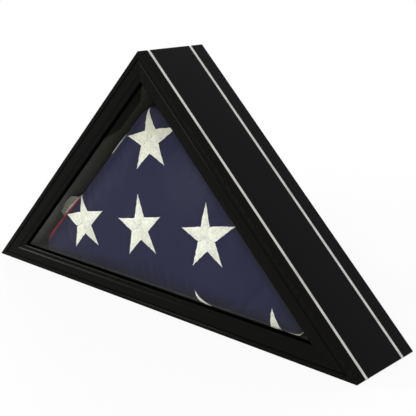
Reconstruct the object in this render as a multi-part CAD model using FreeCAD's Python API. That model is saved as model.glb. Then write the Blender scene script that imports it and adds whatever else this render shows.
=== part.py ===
import FreeCAD, Part
import math
import os

# Folded flag display case: a right-angled triangular box of black boards with silver inlays, a moulded
# and glazed front frame, a felt-covered lining, a back panel held by turn buttons, two D-ring hangers,
# and the folded flag that the case is made round.
#
# Millimetres. +X is to the right seen from the front, +Y is to the back and +Z is up. The origin is the
# middle of the underside. A depth is counted backwards from the front of the frame. An inset is counted
# inwards from the outside of the case, square to the nearest side.

# Folded flag, which sets the size of the case
flag_leg = 378.5
flag_thickness = 80.0
flag_base_radius = 11.0
flag_apex_radius = 36.0
flag_crown_width = 58.0
flag_crown_depth = 15.0
flag_crown_steps = 5
flag_fold_count = 3
flag_fold_nip = 4.0
flag_fold_width = 7.0
flag_side_gap = 22.35
flag_floor_gap = 0.3
flag_front_gap = 3.0
flag_back_gap = 14.5

# Boards and lining
board_thickness = 18.0
liner_thickness = 3.0
corner_radius = 1.5
rear_chamfer = 0.8

# Front frame moulding and its glass
frame_thickness = 16.5
glass_depth = 11.5
glass_thickness = 2.5
glass_lap = 10.4
pane_clearance = 0.5
bead_radius = 1.2
bead_flat = 5.0
quirk_width = 2.4
quirk_depth = 1.2
field_rise = 0.4
field_drop = 0.6
step_width = 1.6
step_drop = 1.1
band_width = 5.1
band_drop = 0.5
sight_width = 1.4
sight_drop = 0.95

# Silver inlays
inlay_width = 4.2
inlay_depth = 1.5
rear_inlay_margin = 22.5

# Back panel
felt_thickness = 1.0
felt_clearance = 0.8
panel_thickness = 6.0
panel_recess = 0.5
panel_corner_cut = 8.0

# Turn buttons
button_length = 24.0
button_width = 11.0
button_thickness = 1.3
button_gap = 0.2
button_screw_radius = 1.7
button_running_clearance = 0.05
button_screw_depth = 14.0
button_from_base_corner = 95.0
button_from_apex = 75.0
button_from_bottom_corner = 170.0

# D-ring hangers
strap_width = 8.0
strap_thickness = 1.0
strap_end_margin = 5.0
strap_screw_gap = 1.2
strap_loop_wall = 1.1
ring_wire_radius = 1.0
ring_loop_clearance = 0.3
ring_side_clearance = 1.0
ring_straight = 4.0
ring_bend_radius = 1.8
hanger_screw_radius = 1.75
hanger_screw_depth = 14.0
hanger_from_apex = 200.0
hanger_inner_margin = 7.5

# Pan-head screws
head_radius = 3.4
head_height = 2.0
head_clearance = 0.15
head_edge_radius = 1.0
drive_slot_width = 0.9
drive_slot_depth = 0.9

# Hidden fasteners
spline_thickness = 3.0
spline_width = 12.0
spline_end_margin = 12.0
vnail_leg = 6.0
vnail_thickness = 0.9
vnail_depth = 7.0
vnail_outer_margin = 6.0
vnail_inner_margin = 4.5
brad_radius = 0.8
brad_cover = 8.0
brad_from_end = 60.0
brad_depth_margin = 30.0

# Sizes that follow from those above
ROOT2 = math.sqrt(2.0)
lining_inset = board_thickness + liner_thickness
flag_half = flag_leg / ROOT2
flag_floor = lining_inset + flag_floor_gap
case_height = flag_half + (lining_inset + flag_side_gap) * ROOT2 + flag_floor
case_width = 2 * case_height
frame_width = board_thickness + glass_lap
glass_back = glass_depth + glass_thickness
flag_front = glass_back + flag_front_gap
flag_back = flag_front + flag_thickness
panel_front = flag_back + flag_back_gap + felt_thickness
panel_back = panel_front + panel_thickness
case_depth = panel_back + panel_recess
button_inset = board_thickness / 2
hanger_inset = board_thickness - hanger_inner_margin
loop_bore = ring_wire_radius + ring_loop_clearance
loop_radius = loop_bore + strap_loop_wall
loop_depth = case_depth + loop_radius
ring_half = strap_width / 2 + ring_side_clearance + ring_wire_radius
ring_reach = ring_bend_radius + ring_straight + ring_half
strap_screw_offset = ring_reach + ring_wire_radius + strap_screw_gap + head_radius
strap_tail = strap_screw_offset + strap_end_margin

AXIS_Y = FreeCAD.Vector(0, 1, 0)
SAME_PLACE = 1e-6
SIDES = ("bottom", "right", "left")


# Points and outlines

def place(x, depth, z):
    """A point at a depth behind the front of the frame."""
    return FreeCAD.Vector(x, depth - case_depth / 2, z)


def triangle(inset):
    """Left, right and top corner of the case's triangle, moved in by inset on every side."""
    half = case_width / 2 - inset * (1 + ROOT2)
    return [(-half, inset), (half, inset), (0.0, case_height - inset * ROOT2)]


def side_ends(side, inset):
    """The two corners that a side runs between, going round the case the same way on every side."""
    left, right, top = triangle(inset)
    return {"bottom": (left, right), "right": (right, top), "left": (top, left)}[side]


def side_axes(side):
    """Unit vectors along a side and inwards from it."""
    (x0, z0), (x1, z1) = side_ends(side, 0.0)
    length = math.hypot(x1 - x0, z1 - z0)
    along = FreeCAD.Vector((x1 - x0) / length, 0, (z1 - z0) / length)
    inward = FreeCAD.Vector(-along.z, 0, along.x)
    return along, inward


def point_on_side(side, inset, from_start, depth):
    """A point at an inset from a side and a distance along it from its first corner at that inset."""
    x, z = side_ends(side, inset)[0]
    return place(x, depth, z) + side_axes(side)[0] * from_start


def side_length(side, inset):
    (x0, z0), (x1, z1) = side_ends(side, inset)
    return math.hypot(x1 - x0, z1 - z0)


def centre_of_triangle():
    """The point where the three mitre planes meet."""
    inset = case_height / (1 + ROOT2)
    return triangle(inset)[2]


# Solids that everything is cut from

def prism(outline, front, back):
    """A flat outline of (x, z) points, from one depth to another."""
    points = [place(x, front, z) for x, z in outline]
    face = Part.Face(Part.makePolygon(points + points[:1]))
    return face.extrude(AXIS_Y * (back - front))


def side_strip(side, outer_inset, inner_inset, front, back):
    """A mitred strip along one side of the triangle."""
    outer_start, outer_end = side_ends(side, outer_inset)
    inner_start, inner_end = side_ends(side, inner_inset)
    return prism([outer_start, outer_end, inner_end, inner_start], front, back)


def case_envelope():
    """The outside of the whole case, with its three corners rounded and its rear edges eased."""
    body = prism(triangle(0.0), 0.0, case_depth)
    corners = [e for e in body.Edges if abs(abs(e.tangentAt(e.FirstParameter).y) - 1) < SAME_PLACE]
    body = body.makeFillet(corner_radius, corners)
    rear = case_depth / 2
    rear_edges = [e for e in body.Edges if abs(e.BoundBox.YMin - rear) < SAME_PLACE]
    return body.makeChamfer(rear_chamfer, rear_edges)


def rod(start, direction, radius, length):
    return Part.makeCylinder(radius, length, start, direction)


def pan_head_screw(seat, shank_radius, shank_length, grip):
    """A slotted pan-head screw that points forwards. Its head starts at the grip behind the seat point."""
    under_head = seat + AXIS_Y * grip
    head = rod(under_head, AXIS_Y, head_radius, head_height)
    rim = [e for e in head.Edges if abs(e.BoundBox.YMin - (under_head.y + head_height)) < SAME_PLACE]
    head = head.makeFillet(head_edge_radius, rim)
    slot = Part.makeBox(2 * head_radius, drive_slot_depth, drive_slot_width)
    slot.translate(under_head + FreeCAD.Vector(-head_radius, head_height - drive_slot_depth,
                                               -drive_slot_width / 2))
    shank = rod(under_head, -AXIS_Y, shank_radius, grip + shank_length)
    return head.cut(slot).fuse(shank).removeSplitter()


# Where the repeated hardware goes

def button_pivots():
    """Name, side and pivot point of each turn button, on the middle of the boards' rear edges."""
    pivots = []
    for side in SIDES:
        length = side_length(side, button_inset)
        if side == "bottom":
            stations = {"start": button_from_bottom_corner, "end": length - button_from_bottom_corner}
            names = {"start": "bottom_left", "end": "bottom_right"}
        elif side == "right":
            stations = {"start": button_from_base_corner, "end": length - button_from_apex}
            names = {"start": "right_lower", "end": "right_upper"}
        else:
            stations = {"start": button_from_apex, "end": length - button_from_base_corner}
            names = {"start": "left_upper", "end": "left_lower"}
        for which in ("start", "end"):
            pivots.append((names[which], side, point_on_side(side, button_inset, stations[which],
                                                             case_depth)))
    return pivots


def hanger_axes(side):
    """Unit vectors of a hanger: up the slope of its board, and across the board towards the inside."""
    along, inward = side_axes(side)
    uphill = along if along.z > 0 else -along
    return uphill, inward


def hanger_loops():
    """Side and loop centre of each D-ring hanger."""
    loops = []
    for side in ("left", "right"):
        length = side_length(side, hanger_inset)
        station = hanger_from_apex if side == "left" else length - hanger_from_apex
        loops.append((side, point_on_side(side, hanger_inset, station, loop_depth)))
    return loops


def brad_points():
    """Side and entry point of each brad, on the inner face of the lining."""
    points = []
    for side in SIDES:
        length = side_length(side, lining_inset)
        for station in (brad_from_end, length - brad_from_end):
            for depth in (glass_back + brad_depth_margin, panel_front - brad_depth_margin):
                points.append((side, point_on_side(side, lining_inset, station, depth)))
    return points


# Hidden fasteners

def corner_frames(inset):
    """For each corner: a point on its mitre, and unit vectors along the mitre inwards and across it."""
    centre_x, centre_z = centre_of_triangle()
    frames = []
    for x, z in triangle(inset):
        length = math.hypot(centre_x - x, centre_z - z)
        along = FreeCAD.Vector((centre_x - x) / length, 0, (centre_z - z) / length)
        frames.append((x, z, along, FreeCAD.Vector(-along.z, 0, along.x)))
    return frames


def corner_outline(x, z, along, across, pairs):
    """An outline given as (distance along the mitre, distance across it) pairs."""
    return [(x + along.x * a + across.x * c, z + along.z * a + across.z * c) for a, c in pairs]


def mitre_splines():
    """A loose tongue in each mitre of the box, stopped short of both ends."""
    front = frame_thickness + spline_end_margin
    back = case_depth - spline_end_margin
    half_t, half_w = spline_thickness / 2, spline_width / 2
    pairs = [(-half_t, -half_w), (half_t, -half_w), (half_t, half_w), (-half_t, half_w)]
    return [prism(corner_outline(*frame, pairs), front, back) for frame in corner_frames(board_thickness / 2)]


def frame_vnails():
    """V-shaped nails driven into the back of the frame's mitres."""
    tip = vnail_leg / ROOT2
    wall = vnail_thickness * ROOT2
    pairs = [(0, 0), (tip, tip), (tip + wall, tip), (wall, 0), (tip + wall, -tip), (tip, -tip)]
    nails = []
    for inset in (vnail_outer_margin, board_thickness - vnail_inner_margin):
        for frame in corner_frames(inset):
            nails.append(prism(corner_outline(*frame, pairs), frame_thickness - vnail_depth, frame_thickness))
    return nails


def liner_brads():
    """Brads through the lining into the boards."""
    length = lining_inset - brad_cover
    return [rod(point, -side_axes(side)[1], brad_radius, length) for side, point in brad_points()]


# Box

def inlay_spans():
    """Front and back depth of the two inlays. The front one covers the joint behind the frame."""
    rear_back = case_depth - rear_inlay_margin
    return {"front": (frame_thickness, frame_thickness + inlay_width),
            "rear": (rear_back - inlay_width, rear_back)}


def inlay(side, which, envelope):
    front, back = inlay_spans()[which]
    return side_strip(side, 0.0, inlay_depth, front, back).common(envelope)


def board(side, envelope, cutters):
    """One board of the box: mitred, eased outside, grooved for its inlays and drilled for its fasteners."""
    solid = side_strip(side, 0.0, board_thickness, frame_thickness, case_depth).common(envelope)
    grooves = []
    if side != "bottom":
        grooves = [side_strip(side, 0.0, inlay_depth, front, back) for front, back in inlay_spans().values()]
    return solid.cut(grooves + cutters).removeSplitter()


def liner(side, cutters):
    """A lining board, which holds the glass in the frame's rebate and stops the back panel."""
    return side_strip(side, board_thickness, lining_inset, glass_back, panel_front).cut(cutters)


# Front frame

def moulding_profile():
    """The moulding's section as edges of (inset, depth) points, starting at its outer back corner."""
    quirk_start = bead_radius + bead_flat
    quirk_end = quirk_start + quirk_width
    band_end = frame_width - sight_width
    band_start = band_end - band_width
    step_start = band_start - step_width
    field_end = field_rise + field_drop
    band_depth = field_end + step_drop
    sight_depth = band_depth + band_drop
    lip_depth = sight_depth + sight_drop
    arc_low = bead_radius * (1 - math.sqrt(0.5))
    return [
        ("line", (0, frame_thickness), (0, bead_radius)),
        ("arc", (0, bead_radius), (arc_low, arc_low), (bead_radius, 0)),
        ("line", (bead_radius, 0), (quirk_start, 0)),
        ("line", (quirk_start, 0), (quirk_start + quirk_width / 2, quirk_depth)),
        ("line", (quirk_start + quirk_width / 2, quirk_depth), (quirk_end, field_rise)),
        ("line", (quirk_end, field_rise), (step_start, field_end)),
        ("line", (step_start, field_end), (band_start, band_depth)),
        ("line", (band_start, band_depth), (band_end, sight_depth)),
        ("line", (band_end, sight_depth), (frame_width, lip_depth)),
        ("line", (frame_width, lip_depth), (frame_width, glass_depth)),
        ("line", (frame_width, glass_depth), (board_thickness, glass_depth)),
        ("line", (board_thickness, glass_depth), (board_thickness, frame_thickness)),
        ("line", (board_thickness, frame_thickness), (0, frame_thickness)),
    ]


def frame_member(side, envelope, vnails):
    """One length of the moulding, mitred at both ends."""
    start, end = side_ends(side, 0.0)
    along, inward = side_axes(side)

    def at(point):
        return place(start[0], point[1], start[1]) + inward * point[0]

    edges = []
    for kind, *points in moulding_profile():
        corners = [at(point) for point in points]
        edges.append(Part.LineSegment(*corners).toShape() if kind == "line" else Part.Arc(*corners).toShape())
    length = Part.Face(Part.Wire(edges)).extrude(along * side_length(side, 0.0))
    mitres = prism([start, end, centre_of_triangle()], 0.0, frame_thickness)
    return length.common(mitres).common(envelope).cut(vnails)


def glass_pane():
    return prism(triangle(board_thickness + pane_clearance), glass_depth, glass_back)


# Back

def cut_corner_triangle(inset, cut):
    """A triangle with its two sharp base corners cut square to the base."""
    left, right, top = triangle(inset)
    return [(left[0] + cut, left[1]), (right[0] - cut, right[1]), (right[0] - cut, right[1] + cut), top,
            (left[0] + cut, left[1] + cut)]


def back_panel():
    outline = cut_corner_triangle(board_thickness + pane_clearance, panel_corner_cut)
    return prism(outline, panel_front, panel_back)


def felt_lining():
    return prism(triangle(lining_inset + felt_clearance), panel_front - felt_thickness, panel_front)


def turn_button(side, pivot):
    """A stamped turn button with round ends, turned clear of the panel along its board."""
    along, inward = side_axes(side)
    radius = button_width / 2
    reach = button_length - button_width
    base = pivot + AXIS_Y * button_gap

    def at(a, c):
        return base + along * a + inward * c

    outline = [Part.LineSegment(at(0, -radius), at(reach, -radius)).toShape(),
               Part.Arc(at(reach, -radius), at(reach + radius, 0), at(reach, radius)).toShape(),
               Part.LineSegment(at(reach, radius), at(0, radius)).toShape(),
               Part.Arc(at(0, radius), at(-radius, 0), at(0, -radius)).toShape()]
    plate = Part.Face(Part.Wire(outline)).extrude(AXIS_Y * button_thickness)
    bore_radius = button_screw_radius + button_running_clearance
    return plate.cut(rod(base, AXIS_Y, bore_radius, button_thickness))


def button_screws():
    grip = button_gap + button_thickness + head_clearance
    return [pan_head_screw(pivot, button_screw_radius, button_screw_depth, grip)
            for name, side, pivot in button_pivots()]


# D-ring hangers

def hanger_screw_seat(side, loop):
    """The point of the board's rear face that a hanger's screw goes through."""
    uphill, inward = hanger_axes(side)
    return loop - AXIS_Y * loop_radius - uphill * strap_screw_offset


def hanger_strap(side, loop):
    """A steel strap bent into a loop round the ring's bar."""
    uphill, inward = hanger_axes(side)
    seat = loop - AXIS_Y * loop_radius
    corners = [seat + inward * c - uphill * a
               for a, c in ((0, -strap_width / 2), (strap_tail, -strap_width / 2),
                            (strap_tail, strap_width / 2), (0, strap_width / 2))]
    plate = Part.Face(Part.makePolygon(corners + corners[:1])).extrude(AXIS_Y * strap_thickness)
    end_face = loop - inward * (strap_width / 2)
    tube = rod(end_face, inward, loop_radius, strap_width)
    bore = rod(end_face, inward, loop_bore, strap_width)
    hole = rod(hanger_screw_seat(side, loop), AXIS_Y, hanger_screw_radius, strap_thickness)
    return plate.fuse(tube).removeSplitter().cut([bore, hole])


def hanger_screws():
    seats = [hanger_screw_seat(side, loop) for side, loop in hanger_loops()]
    return [pan_head_screw(seat, hanger_screw_radius, hanger_screw_depth, strap_thickness) for seat in seats]


def d_ring(side, loop):
    """A wire D-ring, hanging down the slope from its loop."""
    uphill, inward = hanger_axes(side)
    corner = ring_half - ring_bend_radius
    turn = ring_bend_radius + ring_straight
    mid = math.sqrt(0.5)

    def at(down, c):
        return loop - uphill * down + inward * c

    path = [Part.LineSegment(at(0, -corner), at(0, corner)),
            Part.Arc(at(0, corner),
                     at(ring_bend_radius * (1 - mid), corner + ring_bend_radius * mid),
                     at(ring_bend_radius, ring_half)),
            Part.LineSegment(at(ring_bend_radius, ring_half), at(turn, ring_half)),
            Part.Arc(at(turn, ring_half), at(turn + ring_half * mid, ring_half * mid), at(ring_reach, 0)),
            Part.Arc(at(ring_reach, 0), at(turn + ring_half * mid, -ring_half * mid), at(turn, -ring_half)),
            Part.LineSegment(at(turn, -ring_half), at(ring_bend_radius, -ring_half)),
            Part.Arc(at(ring_bend_radius, -ring_half),
                     at(ring_bend_radius * (1 - mid), -corner - ring_bend_radius * mid),
                     at(0, -corner))]
    wire = Part.Wire([piece.toShape() for piece in path])
    section = Part.Wire([Part.Circle(at(0, -corner), inward, ring_wire_radius).toShape()])
    return wire.makePipeShell([section], True, False)


# Folded flag

def flag_section(inset, depth):
    """The flag's outline with rounded corners, drawn in by inset from its full size."""
    half = flag_half - inset * (1 + ROOT2)
    low = flag_floor + inset
    top = flag_floor + flag_half - inset * ROOT2
    outline = [(-half, low), (half, low), (0.0, top)]
    radii = [flag_base_radius, flag_base_radius, flag_apex_radius]
    joints = []
    for i, (x, z) in enumerate(outline):
        radius = radii[i]
        before, after = outline[i - 1], outline[(i + 1) % 3]
        into = FreeCAD.Vector(before[0] - x, 0, before[1] - z).normalize()
        out = FreeCAD.Vector(after[0] - x, 0, after[1] - z).normalize()
        half_angle = into.getAngle(out) / 2
        corner = place(x, depth, z)
        bisector = (into + out).normalize()
        trim = radius / math.tan(half_angle)
        nearest = radius / math.sin(half_angle) - radius
        joints.append((corner + into * trim, corner + bisector * nearest, corner + out * trim))
    edges = []
    for i, (enter, middle, leave) in enumerate(joints):
        edges.append(Part.Arc(enter, middle, leave).toShape())
        edges.append(Part.LineSegment(leave, joints[(i + 1) % 3][0]).toShape())
    return Part.Wire(edges)


def flag_stations():
    """(inset, depth) of each section: a crowned front, a nip at each fold and a crowned back."""
    stations = []
    for step in range(flag_crown_steps + 1):
        angle = math.pi / 2 * step / flag_crown_steps
        stations.append((flag_crown_width * (1 - math.sin(angle)),
                         flag_front + flag_crown_depth * (1 - math.cos(angle))))
    pitch = (flag_thickness - 2 * flag_crown_depth) / flag_fold_count
    for fold in range(flag_fold_count):
        middle = flag_front + flag_crown_depth + pitch * (fold + 0.5)
        stations += [(0.0, middle - flag_fold_width / 2), (flag_fold_nip, middle),
                     (0.0, middle + flag_fold_width / 2)]
    for inset, depth in stations[flag_crown_steps::-1]:
        stations.append((inset, flag_front + flag_back - depth))
    return stations


def folded_flag():
    return Part.makeLoft([flag_section(inset, depth) for inset, depth in flag_stations()], True, True)


# Every piece by its node's name

def build():
    envelope = case_envelope()
    splines, vnails, brads = mitre_splines(), frame_vnails(), liner_brads()
    screws, strap_screws = button_screws(), hanger_screws()
    board_cutters = splines + brads + screws + strap_screws
    pieces = {
        "glass_pane": glass_pane(),
        "mitre_splines": Part.makeCompound(splines),
        "frame_vnails": Part.makeCompound(vnails),
        "liner_brads": Part.makeCompound(brads),
        "turn_button_screws": Part.makeCompound(screws),
        "hanger_screws": Part.makeCompound(strap_screws),
        "back_panel": back_panel(),
        "back_felt": felt_lining(),
        "folded_flag": folded_flag(),
    }
    for side in SIDES:
        pieces[f"{side}_board"] = board(side, envelope, board_cutters)
        pieces[f"front_frame_{side}"] = frame_member(side, envelope, vnails)
        pieces[f"liner_{side}"] = liner(side, brads)
    for side in ("left", "right"):
        for which in ("front", "rear"):
            pieces[f"{side}_{which}_inlay"] = inlay(side, which, envelope)
    for name, side, pivot in button_pivots():
        pieces[f"turn_button_{name}"] = turn_button(side, pivot)
    for side, loop in hanger_loops():
        pieces[f"hanger_strap_{side}"] = hanger_strap(side, loop)
        pieces[f"d_ring_{side}"] = d_ring(side, loop)
    return pieces


def main():
    os.makedirs("parts", exist_ok=True)
    print(f"case {case_width:.1f} wide, {case_height:.1f} high, {case_depth:.1f} deep")
    for node, shape in build().items():
        solids = len(shape.Solids)
        print(f"{node}: {solids} solids, {shape.Volume / 1000:.2f} cm3, valid {shape.isValid()}")
        shape.exportStep(f"parts/{node}.step")


main()
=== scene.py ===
# %% [markdown]
# Folded flag display case, a lesson in Blender.
# The case is a triangular box of black boards with silver inlay lines. Behind its glass stands a flag
# that has been folded into a triangle, blue outwards. The hard parts come from a CAD model, exact and
# ready to move. Here they get their finishes, and the flag, which is soft, is made anew as cloth.

import math

import bmesh
import bpy
from mathutils import Matrix, Vector, noise
from mathutils.bvhtree import BVHTree


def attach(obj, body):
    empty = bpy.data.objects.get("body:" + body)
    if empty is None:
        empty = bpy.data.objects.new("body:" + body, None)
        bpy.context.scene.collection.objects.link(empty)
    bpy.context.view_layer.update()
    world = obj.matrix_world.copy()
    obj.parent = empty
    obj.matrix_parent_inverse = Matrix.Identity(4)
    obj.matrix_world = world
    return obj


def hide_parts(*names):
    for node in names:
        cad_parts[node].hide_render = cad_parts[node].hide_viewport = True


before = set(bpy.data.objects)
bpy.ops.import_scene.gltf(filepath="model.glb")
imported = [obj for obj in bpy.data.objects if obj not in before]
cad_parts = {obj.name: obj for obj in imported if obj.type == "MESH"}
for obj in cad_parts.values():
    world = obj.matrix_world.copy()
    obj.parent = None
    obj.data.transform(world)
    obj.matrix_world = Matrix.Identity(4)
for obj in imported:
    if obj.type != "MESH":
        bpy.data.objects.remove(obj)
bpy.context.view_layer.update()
MM = 0.001
CASE_DEPTH = 119.0
CASE_HEIGHT = 350.25
HALF_DEPTH = CASE_DEPTH / 2.0
COS_45 = math.sqrt(0.5)

# %% [markdown]
# The CAD model counts depth backwards from the front of the frame, in millimetres, and its origin is
# under the middle of the case. One helper turns such a place into Blender's metres, so that every piece
# below can be written in the numbers that a maker would read off the case with a rule: lengths are in
# millimetres unless MM turns them, and only the studio round the case is in metres. A second helper links
# a new object to the scene, because Blender shows only what a scene holds.

# %% From millimetres to the shared frame


def place(x, depth, z):
    """A point of the case, from millimetres across, millimetres behind the front, millimetres up."""
    return Vector((x, depth - HALF_DEPTH, z)) * MM


def new_object(name, data):
    """An object with this data, linked to the scene."""
    made = bpy.data.objects.new(name, data)
    bpy.context.scene.collection.objects.link(made)
    return made


print("front of the frame at y =", round(place(0, 0, 0).y, 4))

# %% [markdown]
# The camera stands where the photographer stood, to the right of the case, a little above it and close
# enough that the right end looks larger than the left. The place, the turn and the focal length were
# worked out from the five corners of the case that the photograph shows, so the picture can be laid over
# the render.

# %% Camera
PICTURE_WIDTH = 416
FOCAL_PIXELS = 881.5
camera_turn = math.radians(43.546)
camera_lift = math.radians(15.740)
camera_roll = math.radians(-0.624)
camera_place = Vector((0.84484, -0.82124, 0.46089))

level_share = math.cos(camera_lift)
backward = Vector(
    (math.sin(camera_turn) * level_share, -math.cos(camera_turn) * level_share, math.sin(camera_lift))
)
level_right = Vector((0, 0, 1)).cross(backward).normalized()
level_up = backward.cross(level_right)
right = level_right * math.cos(camera_roll) + level_up * math.sin(camera_roll)
up = level_up * math.cos(camera_roll) - level_right * math.sin(camera_roll)

camera_data = bpy.data.cameras.new("camera")
camera_data.sensor_fit = "HORIZONTAL"
camera_data.sensor_width = 36.0
camera_data.lens = FOCAL_PIXELS * camera_data.sensor_width / PICTURE_WIDTH
camera_data.clip_start = 0.01
camera = new_object("camera", camera_data)
camera_axes = Matrix((right, up, backward)).transposed()
camera.matrix_world = Matrix.Translation(camera_place) @ camera_axes.to_4x4()
bpy.context.scene.camera = camera
print("lens:", round(camera_data.lens, 2), "mm")

# %% [markdown]
# A finish in Blender is a small graph of nodes. Wiring it by hand takes many lines, so a class stands for
# one output socket and lets arithmetic be written as arithmetic: mask * 0.5 + 1 adds two Math nodes.
# Every other node comes from its one method, which sets the node's own settings first and then its
# sockets.

# %% Shader arithmetic


class Wire:
    """One output socket of a node tree."""

    def __init__(self, tree, socket):
        self.tree = tree
        self.socket = socket

    def node(self, kind, settings=None, inputs=None, output=0):
        """Add a node, with its settings first and its sockets after, and return one of its outputs."""
        made = self.tree.nodes.new(kind)
        for name, value in (settings or {}).items():
            setattr(made, name, value)
        for key, value in (inputs or {}).items():
            if isinstance(value, Wire):
                self.tree.links.new(value.socket, made.inputs[key])
            else:
                made.inputs[key].default_value = value
        return Wire(self.tree, made.outputs[output]) if made.outputs else None

    def math(self, operation, first, second=0.0):
        return self.node("ShaderNodeMath", {"operation": operation}, {0: first, 1: second})

    def __add__(self, other):
        return self.math("ADD", self, other)

    def __sub__(self, other):
        return self.math("SUBTRACT", self, other)

    def __rsub__(self, other):
        return self.math("SUBTRACT", other, self)

    def __mul__(self, other):
        return self.math("MULTIPLY", self, other)

    def __pow__(self, other):
        return self.math("POWER", self, other)

    __radd__ = __add__
    __rmul__ = __mul__


print("wires can be added, subtracted, multiplied and raised to a power")

# %% [markdown]
# A finish is then a function that wires a shader from the Object coordinates, which stay with a piece
# when it moves, and finish_from makes the material round it. The other helpers are short names for the
# nodes that almost every finish needs: noise, a soft step, a blend of two colours and a bump.

# %% Finish helpers


def finish_from(name, build, *about):
    """A new material with the shader that a function builds on its Object coordinates."""
    finish = bpy.data.materials.new(name)
    finish.use_nodes = True
    tree = finish.node_tree
    tree.nodes.clear()
    coordinates = Wire(tree, tree.nodes.new("ShaderNodeTexCoord").outputs["Object"])
    shader = build(coordinates, *about)
    shader.node("ShaderNodeOutputMaterial", None, {"Surface": shader})
    return finish


def principled(coordinates, sockets):
    return coordinates.node("ShaderNodeBsdfPrincipled", None, sockets)


def mix_shaders(amount, first, second):
    return amount.node("ShaderNodeMixShader", None, {0: amount, 1: first, 2: second})


def axes(vector):
    """The three parts of a vector as wires."""
    split = vector.tree.nodes.new("ShaderNodeSeparateXYZ")
    vector.tree.links.new(vector.socket, split.inputs[0])
    return [Wire(vector.tree, out) for out in split.outputs]


def noise_on(vector, scale, detail=2.0, roughness=0.5):
    """Noise from 0 to 1 with this many lumps to a metre."""
    sockets = {"Vector": vector, "Scale": scale, "Detail": detail, "Roughness": roughness}
    return vector.node("ShaderNodeTexNoise", None, sockets)


def ease(value, low, high):
    """0 below low, 1 above high and a soft step between them."""
    return value.node(
        "ShaderNodeMapRange",
        {"interpolation_type": "SMOOTHSTEP"},
        {0: value, 1: low, 2: high, 3: 0.0, 4: 1.0},
    )


def ease_mm(value, low, high):
    """The same step for a length, with its limits in millimetres."""
    return ease(value, low * MM, high * MM)


def larger(first, second):
    return first.math("MAXIMUM", first, second)


def blend_colours(amount, first, second):
    """From the first colour to the second, each red, green and blue or a wire."""
    ends = [c if isinstance(c, Wire) else (*c, 1.0) for c in (first, second)]
    sockets = {0: amount, 6: ends[0], 7: ends[1]}
    return amount.node("ShaderNodeMix", {"data_type": "RGBA"}, sockets, output=2)


def bumped(height, distance, strength=1.0):
    """A normal from a height of 0 to 1 that stands for this distance."""
    sockets = {"Height": height, "Distance": distance, "Strength": strength}
    return height.node("ShaderNodeBump", None, sockets)


print("finish helpers ready")

# %% [markdown]
# A product photograph of this kind is taken on a white sweep under large soft lamps. The floor and the
# world are white only to the camera and to what mirrors or looks through to them, by the Light Path node,
# so the white ground adds no light to the black case. Near the case the floor keeps a share of its own
# shading, and so of the shadow, and further off it runs into plain white, as a paper sweep does.

# %% Floor and world
FLOOR_DROP = 0.2
FLOOR_HALF = 9.0
FLOOR_SHARE_OF_WHITE = 0.88
SWEEP_RISE = (0.45, 1.1)
WORLD_LIGHT = 0.42
WHITE = (1, 1, 1, 1)
PAPER = (0.90, 0.90, 0.90, 1)


def seen_directly(tree):
    """1 for rays from the camera, from a mirror and through glass."""
    path = tree.nodes.new("ShaderNodeLightPath")
    outputs = ("Is Camera Ray", "Is Glossy Ray", "Is Transmission Ray")
    from_camera, from_mirror, through_glass = (Wire(tree, path.outputs[name]) for name in outputs)
    return larger(larger(from_camera, from_mirror), through_glass)


def white_sweep(coordinates):
    length = {"operation": "LENGTH"}
    from_case = coordinates.node("ShaderNodeVectorMath", length, {0: coordinates}, output=1)
    share = ease(from_case, *SWEEP_RISE) * (1.0 - FLOOR_SHARE_OF_WHITE) + FLOOR_SHARE_OF_WHITE
    paper = coordinates.node("ShaderNodeBsdfDiffuse", None, {"Color": PAPER})
    white = coordinates.node("ShaderNodeEmission", None, {"Color": WHITE, "Strength": 1.0})
    return mix_shaders(seen_directly(coordinates.tree) * share, paper, white)


corners = ((-1, -1), (1, -1), (1, 1), (-1, 1))
floor_points = [(x * FLOOR_HALF, y * FLOOR_HALF, -FLOOR_DROP * MM) for x, y in corners]
floor_mesh = bpy.data.meshes.new("floor")
floor_mesh.from_pydata(floor_points, [], [(0, 1, 2, 3)])
floor_mesh.materials.append(finish_from("floor_white", white_sweep))
floor = new_object("floor", floor_mesh)

world = bpy.data.worlds.new("studio")
world.use_nodes = True
world.node_tree.nodes.clear()
bpy.context.scene.world = world
seen = seen_directly(world.node_tree)
strength = seen * (1.0 - WORLD_LIGHT) + WORLD_LIGHT
sky = seen.node("ShaderNodeBackground", None, {"Color": WHITE, "Strength": strength})
seen.node("ShaderNodeOutputWorld", None, {"Surface": sky})
print("floor and world ready")

# %% [markdown]
# Four soft boxes do the rest. The key stands to the left, where the step of the lower moulding mirrors it
# as a thin bright line. A second one hangs in front, a little to the right, and does the same for the
# right moulding. A low fill beside the camera reaches under the frame's lip and into the case. The last
# stands behind and to the left, so that the back isn't dark and the broad right side mirrors no lamp.

# %% Lamps


def soft_box(name, where, target, width, height, power):
    data = bpy.data.lights.new(name, "AREA")
    data.shape = "RECTANGLE"
    data.size = width
    data.size_y = height
    data.energy = power
    lamp = new_object(name, data)
    lamp.location = where
    lamp.rotation_euler = (Vector(target) - Vector(where)).to_track_quat("-Z", "Y").to_euler()
    lamp.visible_camera = False


case_middle = (0.0, 0.0, 0.15)
soft_box("key_lamp", (-2.5, -1.3, 0.95), case_middle, 0.65, 0.65, 36.0)
soft_box("front_lamp", (0.6, -2.2, 2.1), case_middle, 0.8, 0.8, 40.0)
soft_box("fill_lamp", (2.2, -2.2, 0.6), case_middle, 1.2, 0.8, 26.0)
soft_box("rear_lamp", (-1.6, 2.0, 2.0), case_middle, 1.4, 1.0, 30.0)
bpy.context.scene.view_settings.view_transform = "Standard"

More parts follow.
